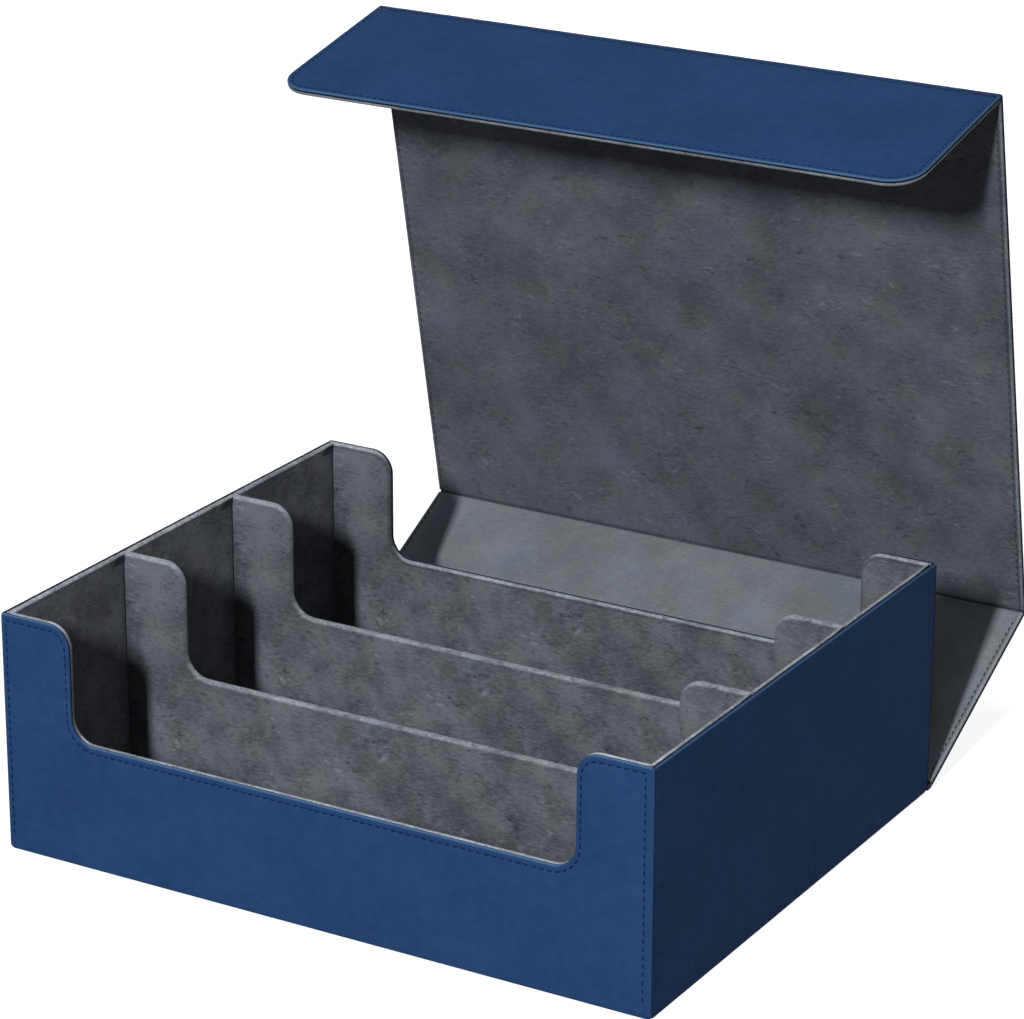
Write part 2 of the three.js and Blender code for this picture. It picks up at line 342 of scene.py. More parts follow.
def groove_lip(depth):
    """A lining's lip at a hinge: from its back down over the end of the board, as the sheet is
    pressed into the groove there."""
    foot = -GROOVE_LINING_DEPTH
    behind = GROOVE_LIP_SHARE * GROOVE_LINING
    bottom = [(share * behind, foot) for share in GROOVE_FOOT_SHARES]
    return [(LIP_REACH, -depth), (GROOVE_LIP_BACK, -depth), (behind, -depth), *bottom,
            (0.0, foot + GROOVE_FOOT_RISE)]


def leather_lip(end, tongue=0.5):
    """The leather's lip turned over the edge. A tongue runs on past its end, further in, under
    the lining's lip, and is the floor of the groove between the two."""
    return [(LIP_REACH, -SHEET_DEPTH), (TONGUE_BACK, -SHEET_DEPTH), (TONGUE_BACK, -end - tongue),
            (TONGUE_FRONT, -end - tongue), *lip_end(LEATHER_LIP_END, end)]


# The sheets' own lips, rolls and seams

BAND_DROP = -0.12
GROOVE = -0.38
RIM_SEAM = 3.1
CUT_SEAM = 2.1
RIGHT_SEAM = 4.0
LEFT_SEAM = 2.4
RIM_LIP = leather_lip(1.28)
CORNER_LIP = leather_lip(1.00, 0.05)
RIM_ROLL = (1.1, 1.0)
CORNER_ROLL = (0.85, 0.80)

SEWN_WALL = {
    "rim": section(RIM_LIP, RIM_ROLL, sewn_face(RIM_SEAM, 0.0, GROOVE, BAND_DROP)),
    "cut": section(RIM_LIP, RIM_ROLL, sewn_face(CUT_SEAM, 0.0, GROOVE, BAND_DROP)),
    "right": section(CORNER_LIP, CORNER_ROLL, sewn_face(RIGHT_SEAM, 0.0, GROOVE, BAND_DROP)),
    "left": section(CORNER_LIP, CORNER_ROLL, sewn_face(LEFT_SEAM, 0.0, GROOVE, BAND_DROP)),
    "foot": section(plain_lip(SHEET_DEPTH), (1.5, 0.73), level_face(BAND_DROP)),
}

SIDE_TURN_IN = 1.55

PLAIN_WALL = {
    "rim": section(leather_lip(SIDE_TURN_IN), (0.9, 0.9), level_face()),
    "edge": section(plain_lip(SHEET_DEPTH), (0.5, SHEET_DEPTH), level_face()),
    "foot": section(plain_lip(SHEET_DEPTH), (FOOT_CORNER, SHEET_DEPTH), level_face()),
}

WALL_LINING_DEPTH = 0.6
WALL_LINING_TURN = 2.35
SIDE_LINING_TURN = 2.10
TUCK_INSET = 1.4
TUCK_DROP = -0.45
WALL_LINING_RIM = section(lining_lip(WALL_LINING_DEPTH, WALL_LINING_TURN), (1.4, 1.7), level_face())
WALL_LINING_EDGE = section(plain_lip(WALL_LINING_DEPTH), (0.6, WALL_LINING_DEPTH), level_face())
WALL_LINING_FOOT = section(plain_lip(WALL_LINING_DEPTH), (0.1, WALL_LINING_DEPTH), level_face())

WALL_LINING = {"rim": WALL_LINING_RIM, "cut": WALL_LINING_RIM, "right": WALL_LINING_EDGE,
               "left": WALL_LINING_EDGE, "foot": WALL_LINING_FOOT}

SIDE_LINING = {
    "rim": section(lining_lip(WALL_LINING_DEPTH, SIDE_LINING_TURN), (1.3, 1.5), level_face()),
    "tucked": section(plain_lip(WALL_LINING_DEPTH), (0.5, 0.15),
                      sewn_face(TUCK_INSET, TUCK_DROP, TUCK_DROP, 0.0)),
    "foot": WALL_LINING_FOOT,
}

COVER_TURN_IN = 1.20
COVER_TONGUE = 0.8
COVER_SEAM = 2.6
COVER_GROOVE = -0.34
COVER_DROP = -0.1

COVER_LEATHER = {
    "rim": section(leather_lip(COVER_TURN_IN, COVER_TONGUE), (1.0, 0.95),
                   sewn_face(COVER_SEAM, 0.0, COVER_GROOVE, COVER_DROP)),
    "hinge": section(plain_lip(SHEET_DEPTH), (0.02, 0.7), level_face(COVER_DROP)),
    "edge": section(plain_lip(0.75), (0.5, 0.7), level_face()),
}

COVER_LINING_DEPTH = 0.55
COVER_LINING_TURN = 1.42
COVER_LINING_SEAM = 2.3
COVER_LINING_GROOVE = -0.24

COVER_LINING = {
    "rim": section(lining_lip(COVER_LINING_DEPTH, COVER_LINING_TURN), (0.9, 1.0),
                   sewn_face(COVER_LINING_SEAM, 0.0, COVER_LINING_GROOVE, 0.0)),
    "hinge": section(groove_lip(COVER_LINING_DEPTH), (0.45, 0.4), level_face()),
}


def sleeve_section(radius, round_share):
    """Half an ellipse from one face of a sleeve over its edge to the other: inset
    round share * radius * (1 - cos a), height radius * sin a, a from -90 to 90 degrees."""
    angle = np.linspace(-np.pi / 2, np.pi / 2, 2 * EDGE_STEPS + 1)
    insets = round_share * radius * (1 - np.cos(angle))
    over = np.stack([insets, radius * np.sin(angle)], axis=1)
    return np.concatenate([[(FACE_INSET, -radius)], over, [(FACE_INSET, radius)]])


# Shader nodes


def add_node(tree, kind, inputs=(), **settings):
    """Adds a node. Its settings are set by name, and its inputs are linked or given a value."""
    node = tree.nodes.new(kind)
    for name, value in settings.items():
        setattr(node, name, value)
    for socket, value in dict(inputs).items():
        if isinstance(value, bpy.types.NodeSocket):
            tree.links.new(value, node.inputs[socket])
        else:
            node.inputs[socket].default_value = value
    return node


def calculate(tree, operation, *values):
    """A Math node on sockets or numbers, and its output."""
    inputs = dict(enumerate(values))
    return add_node(tree, "ShaderNodeMath", inputs, operation=operation).outputs[0]


def blend_colours(tree, share, first, second, how="MIX"):
    """A colour mix from the first colour to the second by a share."""
    inputs = {"Factor": share, 6: first, 7: second}
    node = add_node(tree, "ShaderNodeMix", inputs, data_type="RGBA", blend_type=how)
    return node.outputs[2]


def tint(tree, colour, gain):
    """A colour times a gain in each of red, green and blue."""
    return blend_colours(tree, 1.0, colour, gain, "MULTIPLY")


def vector_math(tree, operation, inputs):
    """A Vector Math node, and its vector."""
    return add_node(tree, "ShaderNodeVectorMath", inputs, operation=operation).outputs[0]


def scaled(tree, place, scale):
    """A place times a scale along each axis."""
    return add_node(tree, "ShaderNodeMapping", {"Vector": place, "Scale": scale}).outputs[0]


def piece_mark(tree, name):
    """One of the marks that a piece's points have."""
    return add_node(tree, "ShaderNodeAttribute", attribute_name=name).outputs["Fac"]


def noise(tree, place, scale, detail, roughness=0.5, distortion=0.0):
    """The outputs of a fractal noise, whose scale is in features a millimetre."""
    inputs = {"Vector": place, "Scale": scale, "Detail": detail, "Roughness": roughness,
              "Distortion": distortion}
    return add_node(tree, "ShaderNodeTexNoise", inputs).outputs


def stretch(tree, value, low, high, new_low=0.0, new_high=1.0, smooth=False):
    """Maps a range of values onto another, clamped."""
    inputs = {"Value": value, 1: low, 2: high, 3: new_low, 4: new_high}
    kind = "SMOOTHSTEP" if smooth else "LINEAR"
    node = add_node(tree, "ShaderNodeMapRange", inputs, interpolation_type=kind)
    return node.outputs["Result"]


def new_group(name, inputs, outputs):
    """A shader node group with named float or vector inputs and float outputs, what it is given
    and its result."""
    group = bpy.data.node_groups.new(name, "ShaderNodeTree")
    for socket, kind in inputs:
        group.interface.new_socket(socket, in_out="INPUT", socket_type=kind)
    for socket in outputs:
        group.interface.new_socket(socket, in_out="OUTPUT", socket_type="NodeSocketFloat")
    given = group.nodes.new("NodeGroupInput").outputs
    result = group.nodes.new("NodeGroupOutput").inputs
    return group, given, result


def leather_grain_group():
    """Embossed leather cloth. Two families of fine lines cross at 45 degrees: for each, the
    groove depth is the size of sin of pi times the distance across the lines over the pitch, and
    a noise makes the lines wander. The pebbles between them, where both are high, have a finer
    noise on top."""
    inputs = [("Place", "NodeSocketVector"), ("Pitch", "NodeSocketFloat"),
              ("Wander", "NodeSocketFloat")]
    group, given, result = new_group("leather_grain", inputs, ["Relief", "Dye", "Rub"])
    place = given["Place"]
    drift = noise(group, place, scale=0.7, detail=2.0)["Color"]
    centred = vector_math(group, "SUBTRACT", {0: drift, 1: (0.5, 0.5, 0.5)})
    moved = vector_math(group, "SCALE", {0: centred, "Scale": given["Wander"]})
    wandering = vector_math(group, "ADD", {0: place, 1: moved})
    parts = add_node(group, "ShaderNodeSeparateXYZ", {0: wandering}).outputs
    turn = calculate(group, "DIVIDE", math.pi / math.sqrt(2), given["Pitch"])
    grooves = []
    for operation in ("ADD", "SUBTRACT"):
        across = calculate(group, operation, parts["X"], parts["Y"])
        wave = calculate(group, "SINE", calculate(group, "MULTIPLY", across, turn))
        grooves.append(calculate(group, "ABSOLUTE", wave))
    pebble = calculate(group, "POWER", calculate(group, "MINIMUM", *grooves), 0.55)
    fine = noise(group, place, scale=3.2, detail=3.0, roughness=0.6)["Fac"]
    pores = calculate(group, "MULTIPLY_ADD", fine, 0.45, -0.2)
    group.links.new(calculate(group, "ADD", pebble, pores), result["Relief"])
    cloud = noise(group, place, scale=0.022, detail=3.0, roughness=0.55)["Fac"]
    group.links.new(stretch(group, cloud, 0.3, 0.7), result["Dye"])
    rub = noise(group, place, scale=0.16, detail=4.0, roughness=0.6)["Fac"]
    group.links.new(stretch(group, rub, 0.35, 0.65, smooth=True), result["Rub"])
    return group


def suede_nap_group():
    """Suede: soft patches where the nap lies one way or the other, short brush strokes, a broad
    drift of its hue, the fibre itself, how frayed it is, and marks where the nap is scuffed. A
    mark is where a drawn-out noise is near its top or its bottom, inside areas that a slower
    noise picks."""
    inputs = [("Place", "NodeSocketVector"), ("Patch", "NodeSocketFloat"),
              ("Scuffing", "NodeSocketFloat")]
    outputs = ["Nap", "Hue", "Fibre", "Fray", "Pale", "Dark"]
    group, given, result = new_group("suede_nap", inputs, outputs)
    place = given["Place"]
    patch_scale = calculate(group, "DIVIDE", 1.0, given["Patch"])
    patches = noise(group, place, patch_scale, detail=5.0, roughness=0.62, distortion=0.3)["Fac"]
    broad = noise(group, place, scale=0.016, detail=2.0)["Fac"]
    brushed = scaled(group, place, (0.30, 0.85, 0.85))
    strokes = noise(group, brushed, scale=1.0, detail=4.0, roughness=0.7)["Fac"]
    fibre = noise(group, place, scale=1.6, detail=5.0, roughness=0.75)["Fac"]
    lie = calculate(group, "MULTIPLY_ADD", broad, 0.7, -0.35)
    speck = calculate(group, "MULTIPLY_ADD", strokes, 1.0, -0.5)
    nap = calculate(group, "ADD", calculate(group, "ADD", patches, lie), speck)
    group.links.new(stretch(group, nap, 0.28, 0.72), result["Nap"])
    hue = noise(group, place, scale=0.045, detail=3.0)["Fac"]
    group.links.new(stretch(group, hue, 0.35, 0.65), result["Hue"])
    group.links.new(fibre, result["Fibre"])
    fray = noise(group, place, scale=0.5, detail=4.0, roughness=0.7)["Fac"]
    group.links.new(stretch(group, fray, 0.38, 0.62), result["Fray"])
    bent = noise(group, place, scale=0.12, detail=2.0)["Color"]
    bend = vector_math(group, "SCALE", {0: bent, "Scale": 9.0})
    curved = vector_math(group, "ADD", {0: place, 1: bend})
    drawn_out = scaled(group, curved, (0.16, 0.55, 0.55))
    scuffs = noise(group, drawn_out, scale=1.0, detail=3.0, roughness=0.55)["Fac"]
    areas = noise(group, place, scale=0.055, detail=1.0)["Fac"]
    picked = stretch(group, areas, 0.42, 0.6)
    amount = calculate(group, "MULTIPLY", picked, given["Scuffing"])
    pale = calculate(group, "MULTIPLY", stretch(group, scuffs, 0.58, 0.70, smooth=True), amount)
    dark = calculate(group, "MULTIPLY", stretch(group, scuffs, 0.42, 0.31, smooth=True), amount)
    group.links.new(pale, result["Pale"])
    group.links.new(dark, result["Dark"])
    return group


def new_material(name, seen_as):
    """A material with a Principled shader, and its node tree and shader."""
    material = bpy.data.materials.new(name)
    material.use_nodes = True
    material.diffuse_color = (*seen_as, 1.0)
    tree = material.node_tree
    return material, tree, tree.nodes["Principled BSDF"]


def place_on_piece(tree, has_map=True):
    """Where a point is in millimetres: on the piece's flat map, or in the object's own space on
    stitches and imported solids, which have no map."""
    coordinates = add_node(tree, "ShaderNodeTexCoord").outputs
    if has_map:
        return coordinates["UV"]
    return scaled(tree, coordinates["Object"], (1 / MM, 1 / MM, 1 / MM))


def finish_surface(tree, shader, colour, relief, roughness, height, strength):
    """A colour, roughness over a range of the relief, and a bump of a height in millimetres."""
    tree.links.new(colour, shader.inputs["Base Color"])
    tree.links.new(stretch(tree, relief, 0.0, 1.0, *roughness), shader.inputs["Roughness"])
    bump = add_node(tree, "ShaderNodeBump",
                    {"Height": relief, "Distance": height * MM, "Strength": strength})
    tree.links.new(bump.outputs["Normal"], shader.inputs["Normal"])


def leather_material(name, group):
    """Blue leather cloth: darker in the grooves of its grain, with a painted highlight, paler,
    where it is turned over an edge and painted shade, nearly black, where it is tucked in
    behind, with uneven dye and a faint rub."""
    dark, light = (0.0165, 0.0475, 0.1270, 1.0), (0.0215, 0.0595, 0.1545, 1.0)
    groove_gain = (0.46, 0.53, 0.63, 1.0)
    # The second colour here is the painted highlight for rolled edges.
    rubbed, painted_edge_highlight = (0.060, 0.110, 0.210, 1.0), (0.085, 0.165, 0.280, 1.0)
    # Painted shade for the groove behind the lining's lip.
    painted_groove_shade = (0.008, 0.016, 0.032, 1.0)
    material, tree, shader = new_material(name, light[:3])
    given = {"Place": place_on_piece(tree), "Pitch": 1.1, "Wander": 0.5}
    grain = add_node(tree, "ShaderNodeGroup", given, node_tree=group).outputs
    dye = blend_colours(tree, grain["Dye"], dark, light)
    depth = stretch(tree, grain["Relief"], 0.15, 0.75, 1.0, 0.0)
    colour = blend_colours(tree, depth, dye, tint(tree, dye, groove_gain))
    worn = calculate(tree, "MULTIPLY", grain["Rub"], 0.08)
    colour = blend_colours(tree, worn, colour, rubbed)
    # A painted highlight: the leather is made paler on its rolled edges.
    edge = stretch(tree, piece_mark(tree, "rolled"), 0.66, 0.90, 0.0, 0.5, smooth=True)
    colour = blend_colours(tree, edge, colour, painted_edge_highlight)
    # Painted shade: the lip tucked in behind the lining, the floor of the groove between them, is
    # made nearly black.
    colour = blend_colours(tree, piece_mark(tree, "tucked_in_shade"), colour, painted_groove_shade)
    shader.inputs["Specular IOR Level"].default_value = 0.007
    finish_surface(tree, shader, colour, grain["Relief"], (0.62, 0.46), height=0.09, strength=0.8)
    return material


def suede_material(name, group, shades, patch, scuffing, edge_highlight_gain,
                   edge_highlight_reach=(0.64, 0.84), crease_shade=0.6, has_map=True):
    """Grey suede: its shade follows the lie of the nap, scuffed in places. Where it is turned
    over an edge it is paler by a gain, a painted highlight made uneven by the fray, and a
    painted shade line lies just inside that."""
    dark, light = shades
    warm, cool = (1.03, 1.01, 0.95, 1.0), (0.97, 0.98, 1.05, 1.0)
    # The scuffs' gain, and the gain of the painted shade line.
    scuff_gain, crease_shade_gain = (1.55, 1.55, 1.52, 1.0), (0.50, 0.51, 0.53, 1.0)
    # The gain of the painted highlight on rolled edges.
    frayed_highlight_gain = (edge_highlight_gain, edge_highlight_gain, 0.98 * edge_highlight_gain, 1.0)
    material, tree, shader = new_material(name, light)
    given = {"Place": place_on_piece(tree, has_map), "Patch": patch, "Scuffing": scuffing}
    nap = add_node(tree, "ShaderNodeGroup", given, node_tree=group).outputs
    colour = blend_colours(tree, nap["Nap"], (*dark, 1.0), (*light, 1.0))
    colour = tint(tree, colour, blend_colours(tree, nap["Hue"], warm, cool))
    colour = blend_colours(tree, nap["Pale"], colour, tint(tree, colour, scuff_gain))
    rolled = piece_mark(tree, "rolled")
    # Painted shade: a dark line just inside the rolled edges, over the cut rims and in the hinges'
    # creases; it darkens the colour together with the real scuffs.
    line = calculate(tree, "MULTIPLY", stretch(tree, rolled, 0.20, 0.36),
                     stretch(tree, rolled, 0.66, 0.50, 0.0, crease_shade))
    darker = calculate(tree, "MAXIMUM", nap["Dark"], line)
    colour = blend_colours(tree, darker, colour, tint(tree, colour, crease_shade_gain))
    # A painted highlight: the rolled edges are made paler by the gain, unevenly where the fibres
    # fray.
    frayed = stretch(tree, nap["Fray"], 0.0, 1.0, 0.5, 1.0)
    edge = calculate(tree, "MULTIPLY", stretch(tree, rolled, *edge_highlight_reach, smooth=True), frayed)
    colour = blend_colours(tree, edge, colour, tint(tree, colour, frayed_highlight_gain))
    shader.inputs["Specular IOR Level"].default_value = 0.03
    shader.inputs["Sheen Weight"].default_value = 0.10
    shader.inputs["Sheen Roughness"].default_value = 0.5
    finish_surface(tree, shader, colour, nap["Fibre"], (0.98, 0.86), height=0.25, strength=0.6)
    return material


def thread_material(name, dark, light):
    """Sewing thread with a fine twist."""
    material, tree, shader = new_material(name, light)
    twist = noise(tree, place_on_piece(tree, has_map=False), scale=4.0, detail=2.0)["Fac"]
    colour = blend_colours(tree, twist, (*dark, 1.0), (*light, 1.0))
    shader.inputs["Specular IOR Level"].default_value = 0.03
    finish_surface(tree, shader, colour, twist, (0.7, 0.5), height=0.05, strength=0.5)
    return material


def board_material():
    """Grey board: pressed paper with flecks."""
    dark, light = (0.21, 0.185, 0.145, 1.0), (0.33, 0.30, 0.24, 1.0)
    material, tree, shader = new_material("grey_board", (0.275, 0.245, 0.195))
    place = place_on_piece(tree, has_map=False)
    fleck = noise(tree, place, scale=0.9, detail=5.0, roughness=0.7)["Fac"]
    colour = blend_colours(tree, stretch(tree, fleck, 0.3, 0.7), dark, light)
    finish_surface(tree, shader, colour, fleck, (0.95, 0.8), height=0.1, strength=0.4)
    return material


def nickel_material():
    """The plated discs of the magnets, finely brushed."""
    dark, light = (0.42, 0.43, 0.44, 1.0), (0.55, 0.56, 0.57, 1.0)
    material, tree, shader = new_material("nickel_plate", (0.48, 0.49, 0.50))
    place = place_on_piece(tree, has_map=False)
    brush = noise(tree, place, scale=1.2, detail=4.0, roughness=0.6)["Fac"]
    colour = blend_colours(tree, brush, dark, light)
    shader.inputs["Metallic"].default_value = 1.0
    finish_surface(tree, shader, colour, brush, (0.38, 0.22), height=0.02, strength=0.3)
    return material


LEATHER = leather_material("blue_leather_cloth", leather_grain_group())
SUEDE_NAP = suede_nap_group()
TRAY_SHADES = (0.055, 0.061, 0.072), (0.130, 0.141, 0.159)
# Painted light: the back panel's suede is a copy of the tray's, made much lighter.
BACK_SHADES_PAINTED_LIGHTER = (0.145, 0.162, 0.180), (0.210, 0.230, 0.254)
# Painted shade: the suede of the top panel, the flap and the hinges' webs is a darker copy of the
# tray's.
TOP_SHADES_PAINTED_DARKER = (0.054, 0.061, 0.073), (0.100, 0.109, 0.129)
TRAY_SUEDE = suede_material("tray_suede", SUEDE_NAP, TRAY_SHADES,
                            patch=16.0, scuffing=1.0, edge_highlight_gain=3.6)
SLEEVE_SUEDE = suede_material("sleeve_suede", SUEDE_NAP, TRAY_SHADES, patch=16.0, scuffing=1.0,
                              edge_highlight_gain=2.3, edge_highlight_reach=(0.36, 0.80), crease_shade=0.15)
FLOOR_SUEDE = suede_material("floor_suede", SUEDE_NAP, TRAY_SHADES,
                             patch=16.0, scuffing=0.8, edge_highlight_gain=1.0, has_map=False)
BACK_SUEDE_PAINTED_LIGHTER = suede_material("back_suede_painted_lighter", SUEDE_NAP, BACK_SHADES_PAINTED_LIGHTER,
                            patch=24.0, scuffing=0.2, edge_highlight_gain=1.6)
COVER_SUEDE_PAINTED_DARKER = suede_material("cover_suede_painted_darker", SUEDE_NAP, TOP_SHADES_PAINTED_DARKER,
                             patch=24.0, scuffing=0.9, edge_highlight_gain=2.3)
THREAD = thread_material("sewing_thread", dark=(0.002, 0.010, 0.045), light=(0.006, 0.022, 0.085))
GREY_THREAD = thread_material("grey_thread", dark=(0.020, 0.023, 0.026),
                              light=(0.050, 0.054, 0.060))
BOARD = board_material()
NICKEL = nickel_material()


# Sewing

STITCH_PITCH = 3.6
STITCH_LENGTH = 2.7
STITCH_WIDTH = 0.85
STITCH_HEIGHT = 0.45
STITCH_TILT = math.radians(5)
STITCH_RINGS = np.array([-1.0, -0.72, -0.25, 0.25, 0.72, 1.0])
STITCH_SIDES = 6
STITCH_DIVE = 0.8
STITCH_LEAST = 0.04
SEAM_MARGIN = 2.5
LOOK_AHEAD = 0.5

# How high a stitch's middle lies over the face of its sheet
WALL_STITCH_RISE = -0.14
COVER_STITCH_RISE = -0.12
LINING_STITCH_RISE = -0.14


def stitch_body():
    """One stitch, about its middle and along x: rings whose half width is
    (1 - t^4) ^ 0.5 of the thread's at the share t of its half length, but never quite nothing,
    and which dive at both ends by the dive * t^2 of the thread's height."""
    ring = STITCH_RINGS[:, None]
    angle = np.linspace(0, 2 * np.pi, STITCH_SIDES, endpoint=False)
    thickness = np.sqrt(np.maximum(1 - ring ** 4, STITCH_LEAST))
    across = thickness * np.cos(angle) * STITCH_WIDTH / 2
    rise = thickness * np.sin(angle) * STITCH_HEIGHT / 2 - STITCH_DIVE * ring ** 2 * STITCH_HEIGHT
    along = np.broadcast_to(ring * STITCH_LENGTH / 2, across.shape)
    return np.stack([along, across, rise], axis=-1).reshape(-1, 3)


def seam_path(corners, insets, sides):
    """The line of a seam along neighbouring sides, drawn in from the outline by their insets."""
    corners = np.array(corners, float)
    loop, _, after, _ = outline_loops(corners, np.array([insets], float))
    starts = np.searchsorted(after, np.arange(len(corners) + 1))
    last = starts[sides[-1] + 1]
    path = np.arange(starts[sides[0]] + CORNER_STEPS, last + 1) % loop.shape[1]
    return loop[0, path]


def stitches_along(face, path, height):
    """Stitches at even steps along a line on a face, each turned to the line's direction."""
    steps = np.diff(path, axis=0)
    reached = np.concatenate([[0], np.cumsum(np.linalg.norm(steps, axis=1))])
    count = int((reached[-1] - 2 * SEAM_MARGIN) / STITCH_PITCH)
    spare = (reached[-1] - count * STITCH_PITCH) / 2
    middles = spare + (np.arange(count) + 0.5) * STITCH_PITCH
    places, ahead = [
        np.stack([np.interp(distances, reached, path[:, i]) for i in range(2)], axis=1)
        for distances in (middles, middles + LOOK_AHEAD)]
    way = (ahead - places) / np.linalg.norm(ahead - places, axis=1, keepdims=True)
    cosine, sine = math.cos(STITCH_TILT), math.sin(STITCH_TILT)
    x, y = way[:, 0], way[:, 1]
    way = np.stack([x * cosine - y * sine, x * sine + y * cosine], axis=1)
    left = np.stack([-way[:, 1], way[:, 0]], axis=1)
    body = stitch_body()
    flat = places[:, None] + body[None, :, :1] * way[:, None] + body[None, :, 1:2] * left[:, None]
    rise = np.broadcast_to(height + body[None, :, 2:], (*flat.shape[:2], 1))
    return face.place(np.concatenate([flat, rise], axis=-1))


def sew(name, thread, body, rows):
    """One mesh of the stitches on a side of a panel, from rows of (face, path, height)."""
    stitches = np.concatenate([stitches_along(*row) for row in rows])
    one = tube_faces(len(STITCH_RINGS), STITCH_SIDES)
    faces = [[corner + start for corner in face]
             for start in range(0, len(stitches) * stitches.shape[1], stitches.shape[1])
             for face in one]
    piece = make_piece(name, stitches.reshape(-1, 3), faces)
    finish_piece(piece, thread, body)


# The tray


def cut_wall_corners(reach, foot, top_radius, foot_radius):
    """The outline of a wall with its cut-out, from its right foot round to its left."""
    cut = HALF_WIDTH - POST_WIDTH
    return [(reach, foot, foot_radius), (reach, TRAY_TOP, top_radius), (cut, TRAY_TOP, CUT_RADIUS),
            (cut, SILL_HEIGHT, CUT_RADIUS), (-cut, SILL_HEIGHT, CUT_RADIUS),
            (-cut, TRAY_TOP, CUT_RADIUS), (-reach, TRAY_TOP, top_radius),
            (-reach, foot, foot_radius)]


def panel_corners(sides, ends, start_radius, end_radius):
    """The outline of a rectangle, from the right end of its start round to its left."""
    return [(sides[1], ends[0], start_radius), (sides[1], ends[1], end_radius),
            (sides[0], ends[1], end_radius), (sides[0], ends[0], start_radius)]


CUT_KINDS = ["right", "rim", "cut", "rim", "cut", "rim", "left", "foot"]
CUT_SEAMS = [RIGHT_SEAM, RIM_SEAM, CUT_SEAM, RIM_SEAM, CUT_SEAM, RIM_SEAM, LEFT_SEAM, RIM_SEAM]
SIDE_KINDS = ["edge", "rim", "edge", "foot"]
SIDE_LINING_KINDS = ["tucked", "rim", "tucked", "foot"]


def dress_cut_wall(name, outer, inner):
    """Leather, lining and stitching of the front or the rear wall."""
    corners = cut_wall_corners(HALF_WIDTH, 0.0, TOP_CORNER, FOOT_CORNER)
    leather = turned_sheet(f"{name}_leather_cloth", outer, corners, CUT_KINDS, SEWN_WALL)
    finish_piece(leather, LEATHER, "tray", [f"{name}_leather"])
    reach = SIDE_INNER_X + CORNER_LINING_REACH
    lining_corners = cut_wall_corners(reach, WALL_FOOT, SQUARE_CORNER, SQUARE_CORNER)
    lining = turned_sheet(f"{name}_suede", inner, lining_corners, CUT_KINDS, WALL_LINING)
    finish_piece(lining, TRAY_SUEDE, "tray", [f"{name}_lining"])
    path = seam_path(corners, CUT_SEAMS, range(len(CUT_KINDS) - 1))
    sew(f"{name}_stitching", THREAD, "tray", [(outer, path, WALL_STITCH_RISE)])


def dress_side(name, outer, inner, way):
    """Leather and the rows' linings of a side. The way is 1 where its faces run along +Y."""
    along = sorted([way * SIDE_LOW[1], way * SIDE_HIGH[1]])
    corners = panel_corners(along, (0.0, TRAY_TOP), FOOT_CORNER, SQUARE_CORNER)
    leather = turned_sheet(f"{name}_leather_cloth", outer, corners, SIDE_KINDS, PLAIN_WALL)
    finish_piece(leather, LEATHER, "tray", [f"{name}_leather"])
    for row in range(1, ROW_COUNT + 1):
        low, high = node_box(f"{name}_lining_{row}")
        along = sorted([-way * (low[1] - SIDE_LINING_TUCK), -way * (high[1] + SIDE_LINING_TUCK)])
        corners = panel_corners(along, (WALL_FOOT, TRAY_TOP), SQUARE_CORNER, SQUARE_CORNER)
        lining = turned_sheet(f"{name}_suede_{row}", inner, corners, SIDE_LINING_KINDS, SIDE_LINING)
        finish_piece(lining, TRAY_SUEDE, "tray", [f"{name}_lining_{row}"])


def dress_divider(number):
    """The suede sleeve of a divider, rounded over the top of its board."""
    low, high = node_box(f"divider_suede_{number}")
    radius = (high[1] - low[1]) / 2
    rim = sleeve_section(radius, round_share=1.0)
    edge = sleeve_section(radius, round_share=0.15)
    foot = sleeve_section(radius, round_share=0.05)
    sections = {"rim": rim, "cut": rim, "right": edge, "left": edge, "foot": foot}
    middle = Face((0, (low[1] + high[1]) / 2, 0), X, Z)
    reach = SIDE_INNER_X + DIVIDER_REACH
    corners = cut_wall_corners(reach, WALL_FOOT, DIVIDER_CORNER, SQUARE_CORNER)
    sleeve = turned_sheet(f"divider_sleeve_{number}", middle, corners, CUT_KINDS, sections, True)
    finish_piece(sleeve, SLEEVE_SUEDE, "tray", [f"divider_suede_{number}"])


def dress_tray():
    """The walls, sides and dividers, and the leather under the tray."""
    dress_cut_wall("front", Face((0, FRONT_Y, 0), X, Z), Face((0, FRONT_INNER_Y, 0), -X, Z))
    dress_cut_wall("rear", Face((0, REAR_Y, 0), -X, Z), Face((0, REAR_INNER_Y, 0), X, Z))
    dress_side("right", Face((HALF_WIDTH, 0, 0), Y, Z), Face((SIDE_INNER_X, 0, 0), -Y, Z), 1)
    dress_side("left", Face((-HALF_WIDTH, 0, 0), -Y, Z), Face((-SIDE_INNER_X, 0, 0), Y, Z), -1)
    for number in range(1, ROW_COUNT):
        dress_divider(number)
    low, high = node_box("cover_base_leather")
    under = Face((0, 0, 0), -X, Y)
    corners = panel_corners((low[0], high[0]), (low[1], high[1]), FOOT_CORNER, SQUARE_CORNER)
    kinds = ["edge", "hinge", "edge", "edge"]
    base = turned_sheet("cover_base_leather_cloth", under, corners, kinds, COVER_LEATHER)
    finish_piece(base, LEATHER, "tray", ["cover_base_leather"])


# The cover


def turned(direction, angle):
    """A direction in the plane of Y and Z, turned about X."""
    y, z = direction[1], direction[2]
    cosine, sine = math.cos(angle), math.sin(angle)
    return np.array([0.0, y * cosine - z * sine, y * sine + z * cosine])


def unit(vector):
    """A vector's direction."""
    return vector / np.linalg.norm(vector)


BACK_WAY = unit(SPINE_HINGE - BASE_HINGE)
TOP_WAY = unit(FLAP_HINGE - SPINE_HINGE)
FLAP_WAY = turned(TOP_WAY, -flap_range[0])


